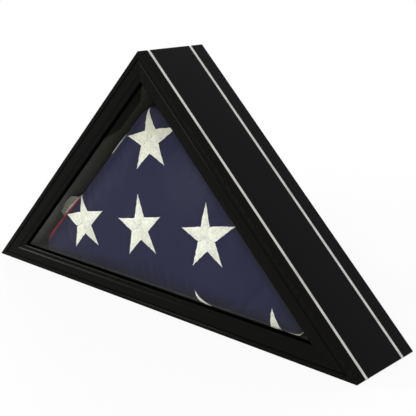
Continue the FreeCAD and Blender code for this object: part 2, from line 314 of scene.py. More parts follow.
# %% [markdown]
# The boards and mouldings are wood under black lacquer, glossier on the boards than on the frame. A flat
# black would do from afar, but close to, the pores of the wood draw fine lines along each board, the
# sheen is a little uneven where it has been wiped, and the outer edges are rubbed. Two runs of the
# frame's edges, on the lower rail and on the right one, carry a painted highlight in the pale colour of
# the rubbed edges. The grain has to turn with the board, so a Mapping node turns the pattern, and the
# rubbed edges and the painted highlights are found from the distance to the board's outer face and to
# the front or the back. The groove of the frame and its inner edge, where the glass goes in, get painted
# shade: a dark, dull finish without gloss.

# %% Black lacquer
BOARD_TURNS = {"bottom": 0.0, "right": math.radians(45.0), "left": math.radians(-45.0)}
BOARD_BLACK = (0.0015, 0.0016, 0.0023)
BOARD_GLOSS = 0.042
FRAME_BLACK = (0.0042, 0.0041, 0.0036)
FRAME_GLOSS = 0.017
# Pale colour of rubbed lacquer, also used for the painted highlight on two runs of the frame's edges.
LACQUER_WEAR_AND_HIGHLIGHT = (0.022, 0.020, 0.018)
# Dark, dull colours of the painted shade in the frame's groove and rebate.
PAINTED_SHADE_DARK = (0.0006, 0.0006, 0.0006)
PAINTED_SHADE_PALE = (0.0016, 0.0015, 0.0014)
GROOVE_INSETS = (6.4, 8.4)
GROOVE_DEPTHS = (0.3, 3.0)
GROOVE_PAINTED_SHADE = 0.55
PAINTED_SHADE_FADE = 0.2
REBATE_INSET = 28.2
REBATE_FADE = 0.15
WORN_EDGE = (0.3, 1.5)
EDGE_WEAR = 0.35
PAINTED_HIGHLIGHT_STRENGTH = 0.8
PAINTED_HIGHLIGHT_FADE = 0.5
FACE_DEPTHS = (1.2, 2.0)
PAINTED_HIGHLIGHT_RUN_FADE = 35.0
# Where the frame gets a painted highlight: a run across and a band of insets for each of two rails.
PAINTED_HIGHLIGHT_RUNS = {"bottom": ((-30.0, 150.0), (4.6, 6.2)), "right": ((-20.0, 120.0), (8.3, 9.8))}


def to_outer_face(side, x, z):
    """Distance in metres from the outer face of a side."""
    if side == "bottom":
        return z
    across = x if side == "right" else x * -1.0
    return (CASE_HEIGHT * MM - across - z) * COS_45


def along_board(coordinates, side, stretch):
    """Coordinates turned to run along a board, and drawn out along it."""
    return coordinates.node(
        "ShaderNodeMapping",
        {"vector_type": "TEXTURE"},
        {"Vector": coordinates, "Rotation": (0.0, BOARD_TURNS[side], 0.0), "Scale": (stretch, 1.0, 1.0)},
    )


def between(value, low, high, soft):
    """1 between two limits in millimetres and 0 outside them, with soft ends."""
    above = ease_mm(value, low - soft, low + soft)
    return above * (1.0 - ease_mm(value, high - soft, high + soft))


def black_lacquer(coordinates, side, black, gloss):
    x, y, z = axes(coordinates)
    grain = noise_on(along_board(coordinates, side, 28.0), 900.0, 3.0, 0.55)
    pores = ease(grain, 0.60, 0.74)
    haze = noise_on(coordinates, 14.0, 3.0, 0.6)
    outer = to_outer_face(side, x, z)
    from_front = y + HALF_DEPTH * MM
    from_back = CASE_DEPTH * MM - from_front
    from_end = from_front.math("MINIMUM", from_front, from_back)
    edge = (outer * outer + from_end * from_end) ** 0.5
    chafed = ease(noise_on(coordinates, 170.0, 3.0), 0.42, 0.62)
    wear_and_highlight = (1.0 - ease_mm(edge, *WORN_EDGE)) * chafed * EDGE_WEAR
    # Painted highlight along two runs of the frame's edges, standing for a lamp's glint there.
    if black == FRAME_BLACK and side in PAINTED_HIGHLIGHT_RUNS:
        run, highlight_insets = PAINTED_HIGHLIGHT_RUNS[side]
        on_the_face = 1.0 - ease_mm(from_front, *FACE_DEPTHS)
        painted_highlight = between(x, *run, PAINTED_HIGHLIGHT_RUN_FADE) * between(outer, *highlight_insets, PAINTED_HIGHLIGHT_FADE) * on_the_face
        wear_and_highlight = larger(wear_and_highlight, painted_highlight * PAINTED_HIGHLIGHT_STRENGTH)
    lacquered = principled(
        coordinates,
        {
            "Base Color": blend_colours(wear_and_highlight, black, LACQUER_WEAR_AND_HIGHLIGHT),
            "Roughness": 0.20 + haze * 0.12 + pores * 0.10,
            "Specular IOR Level": gloss,
            "Normal": bumped(1.0 - pores, 0.05 * MM, 0.25),
        },
    )
    # Painted shade: the groove and the rebate behind the sight edge turn dark and dull, as shade lies
    # there.
    painted_shade_colour = blend_colours(grain, PAINTED_SHADE_DARK, PAINTED_SHADE_PALE)
    painted_shade_finish = principled(coordinates, {"Base Color": painted_shade_colour, "Roughness": 0.9, "Specular IOR Level": 0.0})
    in_rebate = ease_mm(outer, REBATE_INSET - REBATE_FADE, REBATE_INSET + REBATE_FADE)
    in_groove = between(outer, *GROOVE_INSETS, PAINTED_SHADE_FADE)
    in_groove = in_groove * between(from_front, *GROOVE_DEPTHS, PAINTED_SHADE_FADE)
    return mix_shaders(larger(in_rebate, in_groove * GROOVE_PAINTED_SHADE), lacquered, painted_shade_finish)


def lacquer_by_side(name, black, gloss):
    return {side: finish_from(name + side, black_lacquer, side, black, gloss) for side in BOARD_TURNS}


board_lacquer = lacquer_by_side("board_lacquer_", BOARD_BLACK, BOARD_GLOSS)
frame_lacquer = lacquer_by_side("frame_lacquer_", FRAME_BLACK, FRAME_GLOSS)
print("finishes:", [m.name for m in (*board_lacquer.values(), *frame_lacquer.values())])

# %% [markdown]
# The two pale lines along each sloping board are strips of silver-coloured metal let into the wood. Drawn
# strip shows fine scratches along its length, so the same turned coordinates make long thin streaks in
# the roughness.

# %% Silver inlay
SILVER = (0.575, 0.555, 0.525)
SILVER_DULL = (0.460, 0.440, 0.415)


def silver_inlay(coordinates, side):
    scratches = noise_on(along_board(coordinates, side, 120.0), 5200.0, 2.0)
    dull = ease(noise_on(coordinates, 60.0, 3.0), 0.40, 0.72)
    return principled(
        coordinates,
        {
            "Base Color": blend_colours(dull, SILVER, SILVER_DULL),
            "Metallic": 1.0,
            "Roughness": 0.26 + scratches * 0.16 + dull * 0.08,
            "Normal": bumped(scratches, 0.02 * MM, 0.4),
        },
    )


silver = {side: finish_from("silver_inlay_" + side, silver_inlay, side) for side in ("left", "right")}
print("finishes:", [m.name for m in silver.values()])

# %% [markdown]
# Picture glass lets nearly all light through unbent. A full glass shader would darken the flag, as lamps
# don't reach through it, so each face mixes a clear shader with a mirror. Glass mirrors more at a shallow
# angle. Layer Weight's Facing output raised to a power is a common rule for that, the same on both faces,
# and a high power keeps the mirror to the shallowest views. Seen more squarely, glass treated against
# glare shows only a faint veil of the white room. A mirror that one ray in hundreds meets would turn the
# veil into speckle, so a very weak light stands for it, stronger to the left and fading upwards.

# %% Glass
GLASS_TINT = (0.980, 0.983, 0.974, 1)
SHALLOW_POWER = 10.0
VEIL = 0.0029
VEIL_HEIGHTS = (150.0, 255.0)
VEIL_AT_LEFT = 0.0090
LEFT_VEIL_ENDS = (-310.0, -110.0)


def picture_glass(coordinates):
    facing = coordinates.node("ShaderNodeLayerWeight", None, {"Blend": 0.5}, output=1)
    clear = coordinates.node("ShaderNodeBsdfTransparent", None, {"Color": GLASS_TINT})
    wiped = noise_on(coordinates, 22.0, 4.0, 0.65) * 0.06 + 0.01
    sockets = {"Color": WHITE, "Roughness": wiped}
    mirror = coordinates.node("ShaderNodeBsdfAnisotropic", {"distribution": "GGX"}, sockets)
    pane = mix_shaders(facing**SHALLOW_POWER, clear, mirror)
    x, y, z = axes(coordinates)
    veil = (1.0 - ease_mm(z, *VEIL_HEIGHTS)) * VEIL
    veil = veil + (1.0 - ease_mm(x, *LEFT_VEIL_ENDS)) * VEIL_AT_LEFT
    glow = coordinates.node("ShaderNodeEmission", None, {"Color": veil, "Strength": 1.0})
    return coordinates.node("ShaderNodeAddShader", None, {0: pane, 1: glow})


glass = finish_from("picture_glass", picture_glass)
print("glass veil:", VEIL, "of white, and at the left", VEIL + VEIL_AT_LEFT)

# %% [markdown]
# The lining strips wear a dark olive-grey felt, darker underfoot, and the back panel a black one. Felt
# has no thread, only short fibres of pressed wool in every direction, with paler ones on top. Two scales
# of noise give the clumps and the fibres, and a little sheen stands for the nap. The left strip carries
# painted light and shade: painted light low down behind the glass, a painted shadow along the glass near
# the top, and painted shade that darkens it a little towards the top.

# %% Felt
LINING_DARK = (0.0428, 0.0443, 0.0294)
LINING_PALE = (0.0787, 0.0814, 0.0546)
# Painted light on the left lining, low down behind the glass.
FELT_PAINTED_LIGHT = (0.125, 0.125, 0.117)
PAINTED_LIGHT_DEPTHS = (30.0, 48.0)
PAINTED_LIGHT_HEIGHTS = (70.0, 150.0)
# Painted shade on the left lining: a shadow along the glass near the top, and a little towards the top.
FELT_PAINTED_SHADE = (0.003, 0.003, 0.002)
PAINTED_SHADOW_DEPTHS = (41.8, 44.2)
PAINTED_SHADOW_SLOPES = (0.65, 1.29)
PAINTED_SHADOW_STARTS = (202.0, 205.0)
PAINTED_SHADOW_ENDS = (330.0, 333.5)
PAINTED_SHADE_HEIGHTS = (60.0, 160.0)


def felt_painted_light_and_shade(coordinates, colour):
    """The left lining's colour, with painted light low down at the glass and painted shade higher up."""
    x, y, z = axes(coordinates)
    from_front = y + HALF_DEPTH * MM
    # Painted light where the frame's lip shades the lining low down.
    painted_light_amount = (1.0 - ease_mm(from_front, *PAINTED_LIGHT_DEPTHS)) * (1.0 - ease_mm(z, *PAINTED_LIGHT_HEIGHTS))
    # Painted shadow along the glass near the top, between two slanted lines.
    painted_shadow_amount = 1.0 - ease_mm(from_front, *PAINTED_SHADOW_DEPTHS)
    painted_shadow_amount = painted_shadow_amount * ease_mm(z - from_front * PAINTED_SHADOW_SLOPES[0], *PAINTED_SHADOW_STARTS)
    painted_shadow_amount = painted_shadow_amount * (1.0 - ease_mm(z + from_front * PAINTED_SHADOW_SLOPES[1], *PAINTED_SHADOW_ENDS))
    # Painted shade: the shadow, and a little more towards the top.
    painted_shade_amount = larger(painted_shadow_amount * 0.93, ease_mm(z, *PAINTED_SHADE_HEIGHTS) * 0.13)
    return blend_colours(painted_shade_amount, blend_colours(painted_light_amount, colour, FELT_PAINTED_LIGHT), FELT_PAINTED_SHADE)


def felt(coordinates, dark, pale, painted_light_and_shade=None):
    fibres = noise_on(coordinates, 2600.0, 4.0, 0.7)
    clumps = noise_on(coordinates, 210.0, 3.0, 0.6)
    nap = fibres * 0.65 + clumps * 0.35
    colour = blend_colours(ease(nap, 0.34, 0.68), dark, pale)
    return principled(
        coordinates,
        {
            "Base Color": painted_light_and_shade(coordinates, colour) if painted_light_and_shade else colour,
            "Roughness": 0.92 + nap * 0.06,
            "Specular IOR Level": 0.12,
            "Sheen Weight": 0.03,
            "Sheen Roughness": 0.5,
            "Normal": bumped(nap, 0.35 * MM, 0.8),
        },
    )


lining_felt = {
    "left": finish_from("lining_felt_left", felt, LINING_DARK, LINING_PALE, felt_painted_light_and_shade),
    "right": finish_from("lining_felt_right", felt, LINING_DARK, LINING_PALE),
}
floor_felt = finish_from("floor_felt", felt, (0.0190, 0.0196, 0.0155), (0.0360, 0.0370, 0.0290))
panel_felt = finish_from("panel_felt", felt, (0.008, 0.008, 0.008), (0.022, 0.022, 0.021))
print("finishes:", [m.name for m in (*lining_felt.values(), floor_felt, panel_felt)])

# %% [markdown]
# The back panel is thin fibreboard painted black, with the pressed fibres showing as short flakes. The
# turn buttons and hangers are zinc-plated steel with a faint crystal bloom, their screws are of a darker
# steel and the brads are blued, so one function takes the two colours of each. The splines that hold the
# box's mitres are beech, pale with short dark flecks along the grain.

# %% Fibreboard, zinc and beech


def fibreboard(coordinates):
    flakes = noise_on(coordinates, 700.0, 4.0, 0.7)
    worn = ease(noise_on(coordinates, 24.0, 4.0, 0.65), 0.48, 0.80)
    greyed = worn * 0.6 + ease(flakes, 0.5, 0.8) * 0.4
    return principled(
        coordinates,
        {
            "Base Color": blend_colours(greyed, (0.009, 0.009, 0.009), (0.026, 0.023, 0.020)),
            "Roughness": 0.58 + flakes * 0.2,
            "Specular IOR Level": 0.2,
            "Normal": bumped(flakes, 0.15 * MM, 0.6),
        },
    )


def plated_steel(coordinates, bright, dull):
    bloom = noise_on(coordinates, 420.0, 3.0, 0.6)
    tarnish = ease(noise_on(coordinates, 95.0, 3.0, 0.6), 0.45, 0.75)
    return principled(
        coordinates,
        {
            "Base Color": blend_colours(tarnish, bright, dull),
            "Metallic": 1.0,
            "Roughness": 0.24 + bloom * 0.16 + tarnish * 0.10,
            "Normal": bumped(bloom, 0.03 * MM, 0.4),
        },
    )


def beech(coordinates):
    grain = noise_on(along_board(coordinates, "bottom", 12.0), 420.0, 3.0)
    flecks = ease(noise_on(along_board(coordinates, "bottom", 8.0), 1500.0, 2.0), 0.60, 0.72)
    darkened = grain * 0.6 + flecks * 0.4
    return principled(
        coordinates,
        {
            "Base Color": blend_colours(darkened, (0.52, 0.33, 0.19), (0.33, 0.18, 0.09)),
            "Roughness": 0.55 + grain * 0.2,
            "Normal": bumped(grain, 0.1 * MM, 0.5),
        },
    )


board_finish = finish_from("black_fibreboard", fibreboard)
zinc_finish = finish_from("zinc_plate", plated_steel, (0.50, 0.50, 0.49), (0.34, 0.34, 0.33))
screw_finish = finish_from("screw_steel", plated_steel, (0.26, 0.25, 0.23), (0.17, 0.16, 0.15))
blued_finish = finish_from("blued_steel", plated_steel, (0.060, 0.060, 0.058), (0.035, 0.035, 0.034))
beech_finish = finish_from("beech", beech)
print("finishes:", [m.name for m in (board_finish, zinc_finish, screw_finish, blued_finish, beech_finish)])

# %% [markdown]
# Each hard part keeps its CAD shape and only changes its finish. The names say which side a board belongs
# to.

# %% Dress the hard parts


def dress(finish, *names):
    for name in names:
        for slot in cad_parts[name].material_slots:
            slot.material = finish


for side in BOARD_TURNS:
    dress(board_lacquer[side], side + "_board")
    dress(frame_lacquer[side], "front_frame_" + side)
    dress(floor_felt if side == "bottom" else lining_felt[side], "liner_" + side)
for side in ("left", "right"):
    dress(silver[side], side + "_front_inlay", side + "_rear_inlay")
    dress(zinc_finish, "hanger_strap_" + side, "d_ring_" + side)
dress(zinc_finish, *[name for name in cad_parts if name.startswith("turn_button_")])
dress(zinc_finish, "frame_vnails")
dress(screw_finish, "turn_button_screws", "hanger_screws")
dress(blued_finish, "liner_brads")
dress(beech_finish, "mitre_splines")
dress(board_finish, "back_panel")
dress(panel_felt, "back_felt")
dress(glass, "glass_pane")
print("dressed:", len(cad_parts) - 1, "nodes")

# %% [markdown]
# The flag is a strip of cloth folded over and over into a triangular pad. Its start is a plain closed
# form: rounded triangles at a row of depths, small at the front, full at the sides and small again at the
# back. Each side's edge is a quarter of an ellipse, its crown: broad on the two legs and tight along the
# base, where the pad's own weight presses it into the corner of the case.

# %% Start form of the folded flag
FLAG_LEG = 378.5
FLAG_HALF = FLAG_LEG / math.sqrt(2.0)
FLAG_FLOOR = 21.3
FLAG_FRONT = 18.0
FLAG_BACK = 96.0
LEG_CROWN = (40.0, 9.5)
BASE_CROWN = (24.0, 7.0)
BASE_CORNER = 11.0
APEX_CORNER = 36.0
LEAST_CORNER = 3.0
CROWN_STEPS = 9
CORNER_STEPS = 10


def flag_triangle(leg_inset, base_inset):
    """Left, right and top corner of the folded flag, moved in from its legs and from its base."""
    half = FLAG_HALF - base_inset - leg_inset * math.sqrt(2.0)
    return [
        Vector((-half, FLAG_FLOOR + base_inset)),
        Vector((half, FLAG_FLOOR + base_inset)),
        Vector((0.0, FLAG_FLOOR + FLAG_HALF - leg_inset * math.sqrt(2.0))),
    ]


def rounded(corners_in, radii):
    """The outline of a triangle with rounded corners."""
    outline = []
    for i, corner in enumerate(corners_in):
        before = (corners_in[i - 1] - corner).normalized()
        after = (corners_in[(i + 1) % 3] - corner).normalized()
        half_angle = before.angle(after) / 2.0
        middle = (before + after).normalized()
        centre = corner + middle * (radii[i] / math.sin(half_angle))
        start = (corner + before * (radii[i] / math.tan(half_angle)) - centre).normalized()
        sweep = math.pi - 2.0 * half_angle
        for k in range(CORNER_STEPS + 1):
            turn = sweep * k / CORNER_STEPS
            cosine, sine = math.cos(turn), math.sin(turn)
            arm = Vector((start.x * cosine - start.y * sine, start.x * sine + start.y * cosine))
            outline.append(centre + arm * radii[i])
    return outline


def crown_inset(crown, fall):
    """How far a crowned edge is drawn in where it has fallen back this far from the face."""
    width, depth = crown
    left = max(1.0 - fall / depth, 0.0)
    return width * (1.0 - math.sqrt(1.0 - left * left))


def flag_ring(fall, depth):
    leg_inset = crown_inset(LEG_CROWN, fall)
    base_inset = crown_inset(BASE_CROWN, fall)
    radii = [max(radius - leg_inset, LEAST_CORNER) for radius in (BASE_CORNER, BASE_CORNER, APEX_CORNER)]
    return [place(p.x, depth, p.y) for p in rounded(flag_triangle(leg_inset, base_inset), radii)]


quarter_turns = [math.pi / 2.0 * k / CROWN_STEPS for k in range(CROWN_STEPS + 1)]
falls = [LEG_CROWN[1] * (1.0 - math.cos(turn)) for turn in quarter_turns]
rings = [flag_ring(fall, FLAG_FRONT + fall) for fall in falls]
rings += [flag_ring(fall, FLAG_BACK - fall) for fall in reversed(falls)]

shell = bmesh.new()
loops = [[shell.verts.new(point) for point in ring] for ring in rings]
for near, far in zip(loops, loops[1:]):
    for i in range(len(near)):
        j = (i + 1) % len(near)
        shell.faces.new((near[i], near[j], far[j], far[i]))
shell.faces.new(list(reversed(loops[0])))
shell.faces.new(loops[-1])
bmesh.ops.recalc_face_normals(shell, faces=shell.faces)
start_mesh = bpy.data.meshes.new("flag_start")
shell.to_mesh(start_mesh)
shell.free()
print("start form:", len(rings), "rings of", len(rings[0]), "points")

# %% [markdown]
# Cloth needs an even net of points to move freely, so the form is remeshed in small squares. Then it is
# blown up a little with Blender's cloth simulation, without gravity, so that the faces swell between the
# folded edges and the corners pucker. The sides are held, as the folds hold them, and no point may wander
# far from where it began.

# %% Let the cloth swell
NET_SIZE = 4.0 * MM
SWELL_FRAMES = 20
SWELL_CAP = 2.5 * MM
HELD_SLOPES = (0.5, 0.9)
CLOTH_SETTINGS = {
    "quality": 6,
    "mass": 0.25,
    "tension_stiffness": 12.0,
    "compression_stiffness": 12.0,
    "bending_stiffness": 0.4,
    "use_pressure": True,
    "uniform_pressure_force": 3.0,
    "shrink_min": -0.006,
}


def smooth_step(value, low, high):
    t = min(max((value - low) / (high - low), 0.0), 1.0)
    return t * t * (3.0 - 2.0 * t)


def plain_mesh(piece):
    """A piece with its modifiers as a plain mesh."""
    graph = bpy.context.evaluated_depsgraph_get()
    return bpy.data.meshes.new_from_object(piece.evaluated_get(graph))


def remeshed(mesh, size):
    piece = new_object("net", mesh)
    net = piece.modifiers.new("net", "REMESH")
    net.mode = "VOXEL"
    net.voxel_size = size
    result = plain_mesh(piece)
    bpy.data.objects.remove(piece)
    return result


def swollen(mesh):
    """The places of a mesh's points after the cloth simulation, kept near where they began."""
    piece = new_object("swelling", mesh)
    held = piece.vertex_groups.new(name="held")
    for vertex in mesh.vertices:
        hold = smooth_step(math.hypot(vertex.normal.x, vertex.normal.z), *HELD_SLOPES)
        held.add([vertex.index], hold, "REPLACE")
    swelling = piece.modifiers.new("cloth", "CLOTH")
    for name, value in CLOTH_SETTINGS.items():
        setattr(swelling.settings, name, value)
    swelling.settings.effector_weights.gravity = 0.0
    swelling.settings.vertex_group_mass = "held"
    swelling.collision_settings.use_collision = False
    swelling.point_cache.frame_start = 1
    swelling.point_cache.frame_end = SWELL_FRAMES
    for frame_number in range(1, SWELL_FRAMES + 1):
        bpy.context.scene.frame_set(frame_number)
    moved = [v.co.copy() for v in plain_mesh(piece).vertices]
    bpy.data.objects.remove(piece)
    bpy.context.scene.frame_set(1)
    places = []
    for vertex, new in zip(mesh.vertices, moved):
        shift = new - vertex.co
        if shift.length > SWELL_CAP:
            shift *= SWELL_CAP / shift.length
        places.append(vertex.co + shift)
    return places


net_mesh = remeshed(start_mesh, NET_SIZE)
start_places = [v.co.copy() for v in net_mesh.vertices]
new_places = swollen(net_mesh)
shifts = [(new - old).length for new, old in zip(new_places, start_places)]
for vertex, new in zip(net_mesh.vertices, new_places):
    vertex.co = new
print("net:", len(net_mesh.vertices), "points, moved up to", round(max(shifts) / MM, 2), "mm")

# %% [markdown]
# One subdivision makes the net smooth and fine enough for the folds. Round the sides the pad shows the
# edges of four thick folds with deep clefts between them, each fold standing out by its own amount. On
# the front the cloth rises and falls by less than a millimetre, and across the back runs the edge of the
# last fold, which is tucked into the pocket of the others. All of this is moved in code, point by point.

# %% Folds and clefts
FOLD_COUNT = 4
CLEFT_DEPTH = 4.0
CLEFT_WIDTH = 2.6
CLEFT_POWER = 1.4
SWAY = 1.6
SWAY_SCALE = 9.0
FOLD_SHIFT = (0.4, -1.2, 0.6, -0.6)
RIPPLE = 0.55
LONG_RIPPLES = (11.0, 23.0)
SHORT_RIPPLES = (35.0, 41.0)
POCKET_RISE = 1.8
POCKET_SLOPE = 0.55
POCKET_HEIGHT = 150.0
POCKET_WAVER = 4.0
POCKET_WAVER_SCALE = 6.0
POCKET_EDGE = (-1.2, 1.8)
EDGE_BULGE = 2.0
BULGE_UP_LEG = 62.0
BULGE_SPREAD = 48.0
SIDE_SLOPES = (0.55, 0.95)
FACE_SLOPES = (0.75, 0.98)
SETTLED = 0.1


def fold_shape(depth, where):
    """How far a point of the side stands out, from its depth, with clefts between the folds."""
    fold_size = (FLAG_BACK - FLAG_FRONT) / FOLD_COUNT
    sway = noise.noise(where * SWAY_SCALE) * SWAY
    position = (depth + sway - FLAG_FRONT) / fold_size
    out = 0.0
    for cleft in range(1, FOLD_COUNT):
        gap = abs(position - cleft) * fold_size / CLEFT_WIDTH
        out -= CLEFT_DEPTH * math.exp(-(gap**CLEFT_POWER))
    fold = min(max(int(position), 0), FOLD_COUNT - 1)
    belly = math.sin(math.pi * (position - math.floor(position)))
    return out + FOLD_SHIFT[fold] * belly


def ripple_at(point, depth, scales, offset):
    return noise.noise(Vector((point.x * scales[0], depth * 0.01 + offset, point.z * scales[1])))


def folded_shift(point, normal):
    """How far a point of the pad moves for the folds, the bulge, the ripples and the pocket's edge."""
    depth = point.y / MM + HALF_DEPTH
    sideways = Vector((normal.x, 0.0, normal.z))
    amount = smooth_step(sideways.length, *SIDE_SLOPES)
    shift = Vector()
    if amount > 0.0:
        shift += sideways.normalized() * (fold_shape(depth, point) * amount * MM)
    if normal.x < 0.0 and amount > 0.0:
        up_leg = (point.z / MM - FLAG_FLOOR) * math.sqrt(2.0)
        bulge = math.exp(-(((up_leg - BULGE_UP_LEG) / BULGE_SPREAD) ** 2))
        shift += sideways * (EDGE_BULGE * amount * bulge * MM)
    faceward = smooth_step(abs(normal.y), *FACE_SLOPES)
    ripple = ripple_at(point, depth, LONG_RIPPLES, 0.0)
    ripple += 0.5 * ripple_at(point, depth, SHORT_RIPPLES, 7.0)
    shift += normal * (ripple * RIPPLE * faceward * MM)
    if normal.y > 0:
        past_edge = point.x / MM - POCKET_SLOPE * (point.z / MM - POCKET_HEIGHT)
        past_edge += POCKET_WAVER * noise.noise(point * POCKET_WAVER_SCALE)
        shift += normal * (POCKET_RISE * smooth_step(past_edge, *POCKET_EDGE) * faceward * MM)
    return shift


print("folds:", FOLD_COUNT, "with clefts of", CLEFT_DEPTH, "mm between them")

# %% Fold the pad
smooth_piece = new_object("smooth", net_mesh)
subdivision = smooth_piece.modifiers.new("smooth", "SUBSURF")
subdivision.levels = 1
subdivision.render_levels = 1
flag_mesh = plain_mesh(smooth_piece)
bpy.data.objects.remove(smooth_piece)

flag_points = [v.co.copy() for v in flag_mesh.vertices]
flag_normals = [v.normal.copy() for v in flag_mesh.vertices]
lowest = FLAG_FLOOR * MM - SETTLED * MM
for vertex, point, normal in zip(flag_mesh.vertices, flag_points, flag_normals):
    vertex.co = point + folded_shift(point, normal)
    vertex.co.z = max(vertex.co.z, lowest)
for polygon in flag_mesh.polygons:
    polygon.use_smooth = True
flag_mesh.update()
print("flag:", len(flag_mesh.polygons), "faces")

# %% [markdown]
# Plies of the stripes show at the left edge of the pad: the edge of a red one, the edge of a white one
# higher up, and a white corner that has slipped out towards the wall, with a turned-over ply before it.
# Each is a hairpin of cloth that comes out of the pad. Its edge is given as places along the leg and how
# far it stands out there.

# %% Plies at the left edge
LEFT_CORNER = Vector((-FLAG_HALF, FLAG_FLOOR))
ALONG_LEG = Vector((COS_45, COS_45))
OUT_OF_LEG = Vector((-COS_45, COS_45))
PLY_STEPS = 64
PLY_ACROSS = 9
NOSE_STEPS = 6
CREASE_ALONG = 11.0
CREASE_OUT = 6.0


def eased_through(stops, along):
    """The value at a place along a row of stops, eased from each to the next."""
    for (a0, v0), (a1, v1) in zip(stops, stops[1:]):
        if along <= a1:
            return v0 + (v1 - v0) * smooth_step(along, a0, a1)
    return stops[-1][1]


def leg_point(along, out, depth):
    flat = LEFT_CORNER + ALONG_LEG * along + OUT_OF_LEG * out
    return place(flat.x, depth, flat.y)


def ply(stops, depth, tuck, thickness, crumple):
    """A hairpin of cloth along the left leg, with its folded edge outwards, as rows of points round it."""
    rows = []
    radius = thickness / 2.0
    first, last = stops[0][0], stops[-1][0]
    for i in range(PLY_STEPS + 1):
        along = first + (last - first) * i / PLY_STEPS
        nose = eased_through(stops, along) - radius
        reaches = [-tuck + (nose + tuck) * k / PLY_ACROSS for k in range(PLY_ACROSS)]
        turns = [math.pi * k / NOSE_STEPS for k in range(NOSE_STEPS + 1)]
        spots = [(reach, -radius) for reach in reaches]
        spots += [(nose + radius * math.sin(turn), -radius * math.cos(turn)) for turn in turns]
        spots += [(reach, radius) for reach in reversed(reaches)]
        row = []
        for out, level in spots:
            crease = crumple * noise.noise(Vector((along / CREASE_ALONG, out / CREASE_OUT, depth)))
            row.append(leg_point(along, out, depth + level + crease))
        rows.append(row)
    return rows


RED_EDGE = (
    (14, -8), (22, 0.6), (28, 2.9), (35, 4.6), (58, 4.5),
    (96, 3.3), (123, 2.0), (141, 0.8), (150, -5),
)
SLIVER_EDGE = ((246, -3), (254, 1.3), (274, 1.4), (293, 0.7), (302, -4))
CORNER_EDGE = ((79, -3), (81.5, 6), (83.6, 15.5), (101.8, 19.5), (117.9, 17.4), (141.2, 3.0), (148, -3))
TURNED_EDGE = ((86, -3), (93, 6.2), (108, 7.0), (126, 4.4), (140, 1.5), (147, -3))
PLIES = (
    ("red", ply(RED_EDGE, depth=27.2, tuck=16.0, thickness=1.4, crumple=0.3)),
    ("white", ply(SLIVER_EDGE, depth=27.7, tuck=16.0, thickness=1.2, crumple=0.2)),
    ("white_in_deep_painted_shade", ply(CORNER_EDGE, depth=31.0, tuck=18.0, thickness=1.6, crumple=2.2)),
    ("white", ply(TURNED_EDGE, depth=28.5, tuck=16.0, thickness=0.9, crumple=0.5)),
)
print("plies:", [colour for colour, _ in PLIES])

# %% [markdown]
# Flag cloth is a plain weave, thread over thread, a little over half a millimetre to a thread. The strip
# was folded at 45 degrees to the long edge, so its threads run at 45 degrees here. Two sine waves make
# the weave, slanted with the depth as well, so that they don't run out on the sides. The colour wavers
# from thread to thread and over larger patches, and a little sheen catches the light where the cloth
# turns away.

# %% Flag cloth
THREAD_PITCH = 0.62 * MM
BLUE = (0.0195, 0.0200, 0.0485)
BLUE_SHADE = (0.0155, 0.0160, 0.0405)
BLUE_PAINTED_LIGHT_PATCH = (0.0280, 0.0290, 0.0530)
BELLY_X = 70.0
BELLY_Z = 190.0
PAINTED_LIGHT_PATCH_REACH = (10.0, 62.0)
BLUE_ALOFT = (0.0195, 0.0195, 0.0300)
ALOFT_HEIGHTS = (200.0, 280.0)
BLUE_PAINTED_SHADOW = (0.0110, 0.0112, 0.0135)
PAINTED_SHADOW_REACH = (0.0, 15.0)
PAINTED_SHADOW_HEIGHTS = (130.0, 200.0)
BLUE_PAINTED_GREY_LIGHT = (0.0300, 0.0300, 0.0300)
PAINTED_GREY_LIGHT_HEIGHTS = (30.0, 45.0)
BLUE_PAINTED_FOLD_LIGHT = (0.0880, 0.0910, 0.0880)
PAINTED_FOLD_LIGHT_HEIGHTS = (24.6, 28.0)


def blue_painted_light_and_shade(coordinates, colour):
    """The blue with painted light and shade, and duller towards the top."""
    x, y, z = axes(coordinates)
    off_belly = ((x - BELLY_X * MM) ** 2.0 + (z - BELLY_Z * MM) ** 2.0) ** 0.5
    to_right_leg = (FLAG_HALF + FLAG_FLOOR) * MM * COS_45 - (x + z) * COS_45
    # Painted light: a broad pale patch on the belly of the pad.
    colour = blend_colours((1.0 - ease_mm(off_belly, *PAINTED_LIGHT_PATCH_REACH)) * 0.6, colour, BLUE_PAINTED_LIGHT_PATCH)
    # Darker and greyer towards the top.
    colour = blend_colours(ease_mm(z, *ALOFT_HEIGHTS) * 0.6, colour, BLUE_ALOFT)
    # Painted shadow of the frame along the right leg, weaker higher up.
    painted_shadow_on_blue = (1.0 - ease_mm(to_right_leg, *PAINTED_SHADOW_REACH)) * (0.85 - ease_mm(z, *PAINTED_SHADOW_HEIGHTS) * 0.35)
    colour = blend_colours(painted_shadow_on_blue, colour, BLUE_PAINTED_SHADOW)
    # Painted light: a paler grey band a little above the base fold.
    colour = blend_colours((1.0 - ease_mm(z, *PAINTED_GREY_LIGHT_HEIGHTS)) * 0.35, colour, BLUE_PAINTED_GREY_LIGHT)
    # Painted light: pale grey on the base fold, where the frame's lip shades the cloth.
    return blend_colours(1.0 - ease_mm(z, *PAINTED_FOLD_LIGHT_HEIGHTS), colour, BLUE_PAINTED_FOLD_LIGHT)


